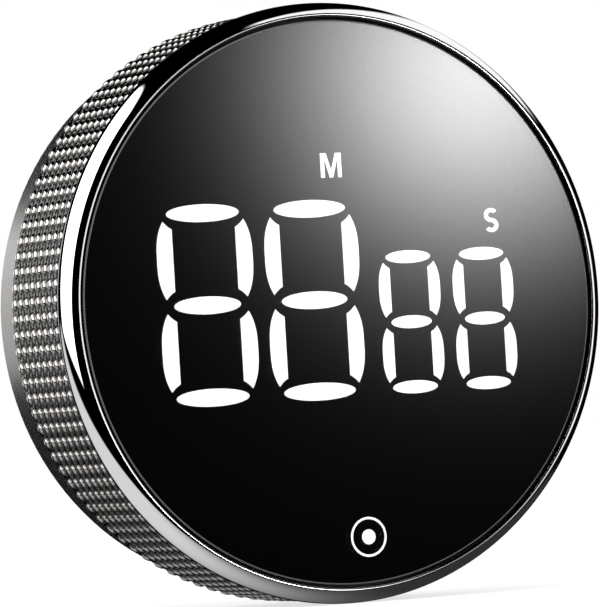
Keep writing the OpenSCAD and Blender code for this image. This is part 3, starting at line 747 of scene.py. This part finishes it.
@dataclass
class KnurledGrip:
    """Sleeve of staggered raised points between two plain rims."""

    columns: int = 117
    rows: int = 8
    rim: float = 1.1 * MM
    heel: float = 0.1 * MM
    height: float = 0.4 * MM
    low_height: float = 0.16 * MM
    wall_clearance: float = 0.05 * MM
    smooth_angle: float = math.radians(48)

    # Shares of the spacing: depth of the zigzag edges, and nearness to a lozenge's axis
    edge_share: float = 0.51
    axis_share: float = 0.01

    # Each ring of a point: share of the height, reach of its corners, reach of its sides
    rings: ClassVar[tuple[Place, ...]] = (
        (0.1, 0.9, 0.92), (0.62, 0.74, 0.78), (0.92, 0.48, 0.56), (1.0, 0.2, 0.26))

    def build(self, palette: Palette) -> None:
        """Knurl a flat band, wrap it round and put it in place of its solid.

        Args:
            palette: Finishes.
        """
        low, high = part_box("grip_ring")
        groove = high.x - self.height
        width = high.y - low.y
        length = FULL_TURN * groove
        pitch = (length / self.columns, (width - self.rim - self.heel) / self.rows)
        tall = self.point_row("grip_tall_points", pitch, self.height, self.rows, 0.0)
        short = self.point_row("grip_short_points", pitch, self.low_height, self.rows - 1, 0.5)
        piece = join([tall, short])
        piece.name = "knurled_grip"
        with editing(piece):
            bpy.ops.mesh.remove_doubles(threshold=WELD)
        self.add_rims(piece, pitch, width)
        self.wrap(piece, length, pitch[0], groove, low.y)
        self.close_bore(piece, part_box("dial_rotor")[1].x + self.wall_clearance, low.y, high.y)
        weld(piece)
        smooth(piece, self.smooth_angle)
        palette.hand_over(piece, Body.DIAL, "grip_metal", "grip_ring")

    def point_row(self, name: str, pitch: Point, height: float, rows: int, stagger: float) -> Solid:
        """Shape one raised point on a lozenge and repeat it over the flat band.

        Args:
            name: Name of the piece.
            pitch: Spacing along the band and across it.
            height: Height of the point.
            rows: Number of points across the band.
            stagger: Share of the pitch that the points are moved by, both ways.

        Returns:
            The flat field of points, with the band's edge at y = 0.
        """
        clear()
        center = (stagger * pitch[0], self.rim + (0.5 + stagger) * pitch[1], 0.0)
        bpy.ops.mesh.primitive_circle_add(vertices=8, radius=1.0, fill_type="NGON")
        piece = bpy.context.object
        piece.name = name
        with editing(piece):
            pick_vertices(piece, lambda vertex: not self.on_axis(vertex, (1.0, 1.0)))
            inward = math.sqrt(0.5)
            bpy.ops.transform.resize(value=(inward, inward, 1.0))
            bpy.ops.mesh.select_all(action="SELECT")
            bpy.ops.transform.resize(value=(pitch[0] / 2, pitch[1] / 2, 1.0))
            reach = (1.0, 1.0)
            level = 0.0
            for share, corner, side in self.rings:
                rise = (share - level) * height
                bpy.ops.mesh.select_mode(type="FACE")
                bpy.ops.mesh.extrude_region_move(TRANSFORM_OT_translate={"value": (0, 0, rise)})
                level = share
                self.draw_in(piece, level * height, pitch, True, corner / reach[0])
                self.draw_in(piece, level * height, pitch, False, side / reach[1])
                reach = (corner, side)
                pick_vertices(piece, lambda vertex: vertex.co.z > level * height - WELD)
            pick_vertices(piece, lambda vertex: vertex.co.z < WELD)
            bpy.ops.mesh.delete(type="ONLY_FACE")
            bpy.ops.mesh.select_all(action="SELECT")
            bpy.ops.transform.translate(value=center)
        repeat(piece, "along", self.columns, (pitch[0], 0, 0), merge=True)
        repeat(piece, "across", rows, (0, pitch[1], 0), merge=True)
        return piece

    def on_axis(self, vertex: Vertex, pitch: Point) -> bool:
        """Say whether a vertex lies on an axis of its lozenge."""
        return min(abs(vertex.co.x) / pitch[0], abs(vertex.co.y) / pitch[1]) < self.axis_share

    def draw_in(self, piece: Solid, height: float, pitch: Point, corners: bool, factor: float) -> None:
        """Scale the corners or the sides of the topmost ring of a point.

        Args:
            piece: Point in edit mode, centred on the origin.
            height: Height of the ring.
            pitch: Spacing along the band and across it.
            corners: True for the lozenge's corners, False for the middles of its sides.
            factor: Scale in the plane of the band.
        """
        def wanted(vertex: Vertex) -> bool:
            """Say whether a vertex is on the ring and of the kind."""
            return vertex.co.z > height - WELD and self.on_axis(vertex, pitch) == corners

        pick_vertices(piece, wanted)
        bpy.ops.transform.resize(value=(factor, factor, 1.0))

    def add_rims(self, piece: Solid, pitch: Point, width: float) -> None:
        """Draw the zigzag edges of the field out to the straight edges of the band.

        Args:
            piece: Flat field of points.
            pitch: Spacing along the band and across it.
            width: Width of the band.
        """
        reach = self.edge_share * pitch[1]
        front, back = self.rim + reach, width - self.heel - reach
        for edge, near in ((0.0, lambda y: y < front), (width, lambda y: y > back)):
            with editing(piece):
                pick_vertices(piece, lambda vertex: vertex.is_boundary and near(vertex.co.y))
                bpy.ops.mesh.select_mode(type="EDGE")
                shape = bmesh.from_edit_mesh(piece.data)
                for line in shape.edges:
                    line.select = line.is_boundary and all(near(v.co.y) for v in line.verts)
                bmesh.update_edit_mesh(piece.data)
                bpy.ops.mesh.extrude_region_move()
                bpy.ops.transform.resize(value=(1, 0, 1), center_override=(0, edge, 0))

    def wrap(self, piece: Solid, length: float, pitch: float, groove: float, front: float) -> None:
        """Wrap the flat band round the turning axis.

        Args:
            piece: Flat band.
            length: Way round at the grooves.
            pitch: Spacing of the points along the band.
            groove: Radius of the grooves.
            front: Place of the band's front edge along Y.
        """
        piece.rotation_euler = (0, -math.pi / 2, 0)
        settle(piece)
        apply_modifier(
            piece, "wrap", "SIMPLE_DEFORM", deform_method="BEND", deform_axis="Y",
            angle=FULL_TURN * (length + pitch / 2) / length)
        piece.location = (-groove, front, 0)
        settle(piece)
        with editing(piece):
            bpy.ops.mesh.remove_doubles(threshold=2 * WELD)

    def close_bore(self, piece: Solid, bore: float, front: float, back: float) -> None:
        """Turn the two rims inwards and bridge them along the bore.

        Args:
            piece: Wrapped band.
            bore: Radius of the bore.
            front: Place of the front rim along Y.
            back: Place of the back rim along Y.
        """
        with editing(piece):
            for edge in (front, back):
                pick_vertices(piece, lambda vertex: vertex.is_boundary and abs(vertex.co.y - edge) < WELD)
                bpy.ops.mesh.select_mode(type="EDGE")
                outer = next(v.co for v in bmesh.from_edit_mesh(piece.data).verts if v.select)
                factor = bore / math.hypot(outer.x, outer.z)
                bpy.ops.mesh.extrude_region_move()
                bpy.ops.transform.resize(value=(factor, 1, factor), center_override=(0, edge, 0))
            pick_vertices(piece, lambda vertex: vertex.is_boundary)
            bpy.ops.mesh.select_mode(type="EDGE")
            bpy.ops.mesh.bridge_edge_loops()


@dataclass
class RearShell:
    """Smooth band and back of the case, with the cover of the battery bay."""

    flat_angle: float = math.radians(0.5)

    def build(self, palette: Palette) -> None:
        """Smooth the shell and the cover and put them in place of their solids.

        Args:
            palette: Finishes.
        """
        shell = self.flat_backed("rear_housing", "rear_shell")
        palette.hand_over(shell, Body.CASE, "rear_gloss", "rear_housing")
        cover = self.flat_backed("battery_cover", "cover_plate")
        palette.hand_over(cover, Body.COVER, "cover_charcoal", "battery_cover")

    def flat_backed(self, node: str, name: str) -> Solid:
        """Copy a solid, join up its flat faces and smooth it, with a crisp edge round its flat back.

        Args:
            node: Name of the CAD node.
            name: Name of the new piece.

        Returns:
            The copy.
        """
        piece = bpy.data.objects.new(name, frame["nodes"][node].data.copy())
        bpy.context.scene.collection.objects.link(piece)
        with editing(piece):
            bpy.ops.mesh.remove_doubles(threshold=WELD)
            bpy.ops.mesh.dissolve_limited(angle_limit=self.flat_angle)
        smooth(piece)
        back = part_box(node)[1].y
        with editing(piece):
            pick_vertices(piece, lambda vertex: vertex.co.y > back - WELD)
            bpy.ops.mesh.region_to_loop()
            bpy.ops.mesh.mark_sharp()
        apply_modifier(piece, "weigh", "WEIGHTED_NORMAL", keep_sharp=True)
        return piece


@dataclass(frozen=True)
class SevenSegments:
    """One size of lit digit, made once and copied beside itself."""

    name: str
    place: Point
    pitch: float
    half: Point
    bar: float
    shift: Point = (0.22 * MM, -0.12 * MM)
    bow: float = 0.46
    bow_power: float = 2.9
    bow_steps: int = 10
    end_slope: float = 0.1
    end_hollow: float = 0.05
    end_steps: int = 4
    thickness: float = 0.05 * MM
    level_corners: int = 45

    # Shares of the bar that segments are shorter by
    level_cut: float = 0.21
    middle_cut: float = 0.19
    standing_cut: float = 0.8

    def build(self, back: float) -> Solid:
        """Make the segments of two digits side by side.

        Args:
            back: Place of their backs along Y.

        Returns:
            All the segments as one piece.
        """
        reach, rise = self.half
        long = reach - self.level_cut * self.bar
        short = long - self.middle_cut * self.bar
        levels = ((-rise, long), (0.0, short), (rise, long))
        outlines = [whole_oval((0.0, z), (length, self.bar / 2), self.level_corners) for z, length in levels]
        for side in (-1, 1):
            for end in (-1, 1):
                outlines.append([(side * (reach + x), end * rise / 2 + z) for x, z in self.standing()])
        origin = (self.place[0] + self.shift[0], self.place[1] + self.shift[1])
        pieces = []
        for number, outline in enumerate(outlines):
            moved = [(origin[0] + x, origin[1] + z) for x, z in outline]
            pieces.append(plate(f"{self.name}_{number}", moved, back, self.thickness))
        piece = join(pieces)
        repeat(piece, "beside", 2, (self.pitch, 0, 0), merge=False)
        return piece

    def standing(self) -> list[Point]:
        """Draw a right-hand standing segment: bowed outside, straight inside, sloping ends.

        Returns:
            Its outline about its own middle.
        """
        width = self.bar
        half = (self.half[1] - self.standing_cut * width) / 2
        tip = width / 2 - self.bow * width
        steps = [i / self.bow_steps for i in range(-self.bow_steps, self.bow_steps + 1)]
        outer = [(tip + self.bow * width * (1 - abs(t) ** self.bow_power), half * t) for t in steps]
        end = []
        for i in range(1, self.end_steps + 1):
            t = i / self.end_steps
            sink = 2 * half * self.end_slope * t + 4 * self.end_hollow * width * t * (1 - t)
            end.append((tip - (tip + width / 2) * t, half - sink))
        return [*outer, *end, *((x, -z) for x, z in reversed(end))]


@dataclass
class DigitLights:
    """Lit segments of the four digits."""

    minutes: SevenSegments = SevenSegments(
        "minute_segments", place=(-18.98 * MM, 0.53 * MM), pitch=15.39 * MM,
        half=(5.67 * MM, 11.89 * MM), bar=2.3 * MM)
    seconds: SevenSegments = SevenSegments(
        "second_segments", place=(10.39 * MM, -2.89 * MM), pitch=10.9 * MM,
        half=(3.65 * MM, 8.53 * MM), bar=1.7 * MM)

    def build(self, palette: Palette) -> None:
        """Make the segments and put them in place of their solid.

        Args:
            palette: Finishes.
        """
        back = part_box("diffuser_film")[0].y
        piece = join([self.minutes.build(back), self.seconds.build(back)])
        piece.name = "segment_plates"
        weld(piece)
        palette.hand_over(piece, Body.CASE, "segment_white", "segment_lights")


@dataclass
class DisplayMarks:
    """Lit unit letters and the touch mark, printed behind the glass."""

    minute_place: Point = (0.05 * MM, 17.85 * MM)
    minute_size: Point = (3.05 * MM, 3.2 * MM)
    second_place: Point = (23.22 * MM, 9.85 * MM)
    second_size: Point = (2.1 * MM, 3.2 * MM)
    touch_place: Point = (2.35 * MM, -30.69 * MM)
    touch_ring: float = 2.6 * MM
    touch_stroke: float = 0.3 * MM
    touch_dot: float = 0.98 * MM
    dot_corners: int = 72
    thickness: float = 0.006 * MM
    seam: float = 0.001 * MM

    # Letter S: half its stroke against bows of radius 0.5, where a bow opens, chords of a bow
    stroke: float = 0.21
    bow_open: float = 35.0
    bow_steps: int = 16

    # Half of the letter M as shares of its width and height, from the foot of its middle
    half_m: ClassVar[tuple[Point, ...]] = (
        (0.415, 0.0), (0.19, 0.76), (0.19, 0.0), (0.0, 0.0), (0.0, 1.0), (0.28, 1.0), (0.5, 0.32))

    def build(self, palette: Palette) -> None:
        """Make the letters and the mark.

        Args:
            palette: Finishes.
        """
        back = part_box("front_lens")[1].y - self.seam
        letter_m = [*self.half_m, *((1 - x, z) for x, z in reversed(self.half_m[:-1]))]
        pieces = [
            self.letter("minute_letter", letter_m, self.minute_place, self.minute_size, back),
            self.letter("second_letter", self.draw_s(), self.second_place, self.second_size, back),
            self.touch_mark(back),
        ]
        for piece in pieces:
            smooth(piece)
            palette.hand_over(piece, Body.CASE, "segment_white")

    def draw_s(self) -> list[Point]:
        """Draw the letter S as a thick line along two bows.

        Returns:
            Its outline, about 1 wide and 2 high.
        """
        outline = []
        radius = 0.5
        for side in (1, -1):
            wide, narrow = radius + side * self.stroke, radius - side * self.stroke
            bows = [
                *arc((0.0, radius), wide, self.bow_open, 270, self.bow_steps),
                *arc((0.0, -radius), narrow, 90, self.bow_open - 180, self.bow_steps),
            ]
            outline += bows if side > 0 else bows[::-1]
        return outline

    def letter(self, name: str, outline: list[Point], place: Point, size: Point, back: float) -> Solid:
        """Fit an outline to its size and make it a thin print.

        Args:
            name: Name of the piece.
            outline: Outline of the letter in any unit.
            place: Centre of the letter as x and z.
            size: Width and height of the letter.
            back: Place of its back along Y.

        Returns:
            The letter.
        """
        fitted = []
        for axis in range(2):
            values = [point[axis] for point in outline]
            middle = (max(values) + min(values)) / 2
            scale = size[axis] / (max(values) - min(values))
            fitted.append([place[axis] + (value - middle) * scale for value in values])
        return plate(name, list(zip(*fitted)), back, self.thickness)

    def touch_mark(self, back: float) -> Solid:
        """Make the ring and its dot.

        Args:
            back: Place of the mark's back along Y.

        Returns:
            The mark.
        """
        outer, front = self.touch_ring, back - self.thickness
        inner = outer - self.touch_stroke
        profile = [(inner, back), (outer, back), (outer, front), (inner, front)]
        ring = lathe("touch_mark", profile, Grade.SMALL)
        outline = whole_oval((0.0, 0.0), (self.touch_dot, self.touch_dot), self.dot_corners)
        dot = plate("touch_dot", outline, back, self.thickness)
        piece = join([ring, dot])
        piece.location = (self.touch_place[0], 0, self.touch_place[1])
        settle(piece)
        weld(piece)
        return piece


# Studio


@dataclass(frozen=True)
class Bound:
    """Side of a bright opening: the directions within an angle of a pole.

    Angles are in degrees. Azimuth is 0 in front of the glass and positive to the left. An edge of 0
    stands for the opening's own edge. The floor is the share of the light that is left outside.
    """

    azimuth: float
    elevation: float
    reach: float = 90.0
    edge: float = 0.0
    floor: float = 0.0

    def mask(self, sheet: NodeSheet, way: Socket, edge: float) -> Socket:
        """Build the share of the light that passes.

        Args:
            sheet: Node sheet of the tent.
            way: Direction of the place from the timer.
            edge: Half width of the soft edge in degrees, unless the bound has its own.

        Returns:
            1 inside the bound and the floor outside it.
        """
        limit, soft = math.cos(math.radians(self.reach)), math.radians(self.edge or edge)
        toward = sheet.vector("DOT_PRODUCT", way, aim(self.azimuth, self.elevation)).outputs["Value"]
        return sheet.fade(toward, limit - soft, limit + soft, self.floor)


def aim(azimuth: float, elevation: float) -> Vector:
    """Give the direction at an azimuth and an elevation in degrees."""
    turn, rise = math.radians(azimuth), math.radians(elevation)
    return Vector((-math.sin(turn) * math.cos(rise), -math.cos(turn) * math.cos(rise), math.sin(rise)))


def below(azimuth: float, elevation: float) -> Bound:
    """Keep what is under the great circle that is steepest at a direction."""
    return Bound(azimuth, elevation - 90)


def above(azimuth: float, elevation: float) -> Bound:
    """Keep what is over the great circle that is steepest at a direction."""
    return Bound(azimuth, elevation + 90)


def left_of(azimuth: float) -> Bound:
    """Keep the half of the tent to the left of an azimuth."""
    return Bound(azimuth + 90, 0)


def right_of(azimuth: float) -> Bound:
    """Keep the half of the tent to the right of an azimuth."""
    return Bound(azimuth - 90, 0)


@dataclass(frozen=True)
class Window:
    """Bright opening of the studio tent."""

    level: float
    edge: float
    bounds: tuple[Bound, ...]

    def glow(self, sheet: NodeSheet, way: Socket) -> Socket:
        """Build the brightness of the opening, which is 0 outside it."""
        return sheet.product(self.level, *(bound.mask(sheet, way, self.edge) for bound in self.bounds))


@dataclass(frozen=True)
class Spot:
    """Soft round light in the tent, whose reflection lies over the glass."""

    azimuth: float
    elevation: float
    spread: float
    level: float

    def glow(self, sheet: NodeSheet, way: Socket) -> Socket:
        """Build the brightness of the spot.

        Args:
            sheet: Node sheet of the tent.
            way: Direction of the place from the timer.

        Returns:
            The brightness, which falls off as a bell curve.
        """
        off = sheet.vector("DISTANCE", way, aim(self.azimuth, self.elevation)).outputs["Value"]
        steps = sheet.math("DIVIDE", off, math.radians(self.spread))
        fall = sheet.product(steps, steps, -0.5)
        return sheet.product(sheet.math("EXPONENT", fall), self.level)


@dataclass(frozen=True)
class Lamp:
    """Soft lamp that points at the timer and isn't mirrored in it."""

    name: str
    place: Place
    size: float
    power: float

    def build(self) -> None:
        """Hang the lamp."""
        light = bpy.data.lights.new(self.name, "AREA")
        light.size = self.size
        light.energy = self.power
        holder = bpy.data.objects.new(self.name, light)
        bpy.context.scene.collection.objects.link(holder)
        holder.location = self.place
        holder.rotation_euler = (-Vector(self.place)).to_track_quat("-Z", "Y").to_euler()
        holder.visible_glossy = False
        holder.visible_transmission = False


@dataclass(frozen=True)
class View:
    """Camera at the photograph's view: left of the glass, just below its middle."""

    lens: float = 338.3
    sensor_width: float = 36.0
    clip_start: float = 0.05
    right: Place = (0.893979, -0.444143, -0.059484)
    up: Place = (0.043457, -0.046188, 0.997987)
    place: Place = (-335.288 * MM, -688.028 * MM, -16.186 * MM)

    def build(self) -> None:
        """Set up the camera."""
        data = bpy.data.cameras.new("view_camera")
        data.lens = self.lens
        data.sensor_width = self.sensor_width
        data.clip_start = self.clip_start
        camera = bpy.data.objects.new("view_camera", data)
        bpy.context.scene.collection.objects.link(camera)
        right, up = Vector(self.right), Vector(self.up)
        turn = Matrix((right, up, right.cross(up))).transposed().to_4x4()
        camera.matrix_world = Matrix.Translation(self.place) @ turn
        bpy.context.scene.camera = camera


@dataclass
class Studio:
    """White surroundings, pale floor, dark tent with bright openings, soft lamps and the camera."""

    diffuse_level: float = 0.7
    floor_size: float = 8.0
    floor_tone: float = 0.45
    floor_glow: float = 0.7
    tent_radius: float = 3.0
    tent_segments: int = 64
    tent_rings: int = 32

    lamps: ClassVar[tuple[Lamp, ...]] = (
        Lamp("key_lamp", (-0.9, -1.0, 1.3), size=1.2, power=13.0),
        Lamp("fill_lamp", (1.0, -0.9, 0.9), size=1.0, power=5.0),
    )

    # Sheen on the glass and its halo, left window, table, upper right window, right strip, rear strip
    lights: ClassVar[tuple[Spot | Window, ...]] = (
        Spot(azimuth=-28.8, elevation=4.1, spread=1.35, level=20.0),
        Spot(azimuth=-28.8, elevation=4.1, spread=4.0, level=0.15),
        Window(3.0, 1.5, (below(100, 66), above(40, -19), Bound(152, 10), Bound(35, 28))),
        Window(0.68, 2.0, (
            below(45, -39), Bound(110, -79, reach=79), Bound(0, 0, reach=141),
            Bound(92, 0, reach=92.866, edge=31.513, floor=0.045))),
        Window(1.0, 2.0, (below(-65, 60), above(-95, 24), above(-30, 31), right_of(-21))),
        Window(1.0, 3.0, (below(-44, 12), above(-44, -12), right_of(-34), left_of(-62))),
        Window(1.5, 3.0, (below(165, 17), above(165, -8), Bound(180, 4, reach=24))),
    )

    def build(self) -> None:
        """Build all of the studio."""
        bpy.context.scene.view_settings.view_transform = "Standard"
        self.build_world()
        self.build_floor()
        self.build_tent()
        for lamp in self.lamps:
            lamp.build()
        View().build()

    def build_world(self) -> None:
        """Make the surroundings white for what is seen and softer for what lights."""
        world = bpy.data.worlds.new("white_surroundings")
        bpy.context.scene.world = world
        sheet = blank_sheet(world)
        path = sheet.add("ShaderNodeLightPath").outputs
        seen = sheet.math("MAXIMUM", path["Is Camera Ray"], path["Is Glossy Ray"])
        seen = sheet.math("MAXIMUM", seen, path["Is Transmission Ray"])
        level = sheet.math("MULTIPLY_ADD", seen, 1.0 - self.diffuse_level, self.diffuse_level)
        shader = sheet.add("ShaderNodeBackground", {"Color": WHITE, "Strength": level})
        sheet.add("ShaderNodeOutputWorld", {"Surface": shader.outputs[0]})

    def build_floor(self) -> None:
        """Lay a pale floor under the timer that takes its shadow."""
        clear()
        bpy.ops.mesh.primitive_plane_add(size=self.floor_size, location=(0, 0, CAD_BOX[0].z))
        floor = bpy.context.object
        floor.name = "pale_floor"
        floor.visible_glossy = False
        floor.visible_transmission = False
        material = bpy.data.materials.new("pale_floor")
        sheet = blank_sheet(material)
        tone = self.floor_tone
        pale = sheet.add("ShaderNodeBsdfDiffuse", {"Color": (tone, tone, tone, 1.0)})
        seen = sheet.add("ShaderNodeLightPath").outputs["Is Camera Ray"]
        share = sheet.math("MULTIPLY", seen, self.floor_glow)
        white = sheet.add("ShaderNodeEmission", {"Color": WHITE, "Strength": share})
        both = sheet.add("ShaderNodeAddShader", {0: pale.outputs[0], 1: white.outputs[0]})
        sheet.add("ShaderNodeOutputMaterial", {"Surface": both.outputs[0]})
        floor.data.materials.append(material)

    def build_tent(self) -> None:
        """Hang a dark tent with bright openings that only reflections see."""
        clear()
        bpy.ops.mesh.primitive_uv_sphere_add(
            segments=self.tent_segments, ring_count=self.tent_rings, radius=self.tent_radius,
            location=(0, CAD_BOX[0].y, 0))
        tent = bpy.context.object
        tent.name = "studio_tent"
        tent.visible_camera = False
        tent.visible_diffuse = False
        tent.visible_shadow = False
        bpy.ops.object.shade_smooth()
        material = bpy.data.materials.new("studio_tent")
        sheet = blank_sheet(material)
        way = sheet.vector("NORMALIZE", sheet.place()).outputs[0]
        level = 0.0
        for light in self.lights:
            level = sheet.math("ADD", light.glow(sheet, way), level)
        glow = sheet.add("ShaderNodeEmission", {"Color": WHITE, "Strength": level})
        sheet.add("ShaderNodeOutputMaterial", {"Surface": glow.outputs[0]})
        material.cycles.emission_sampling = "NONE"
        tent.data.materials.append(material)


def main() -> None:
    """Build the timer and its studio."""
    logging.basicConfig(level=logging.INFO, format="%(message)s")
    clear()
    palette = Palette()
    palette.dress_nodes()
    for part in (Bezel(), GlassDisc(), KnurledGrip(), RearShell(), DigitLights(), DisplayMarks()):
        part.build(palette)
    Studio().build()


if __name__ == "__main__":
    main()
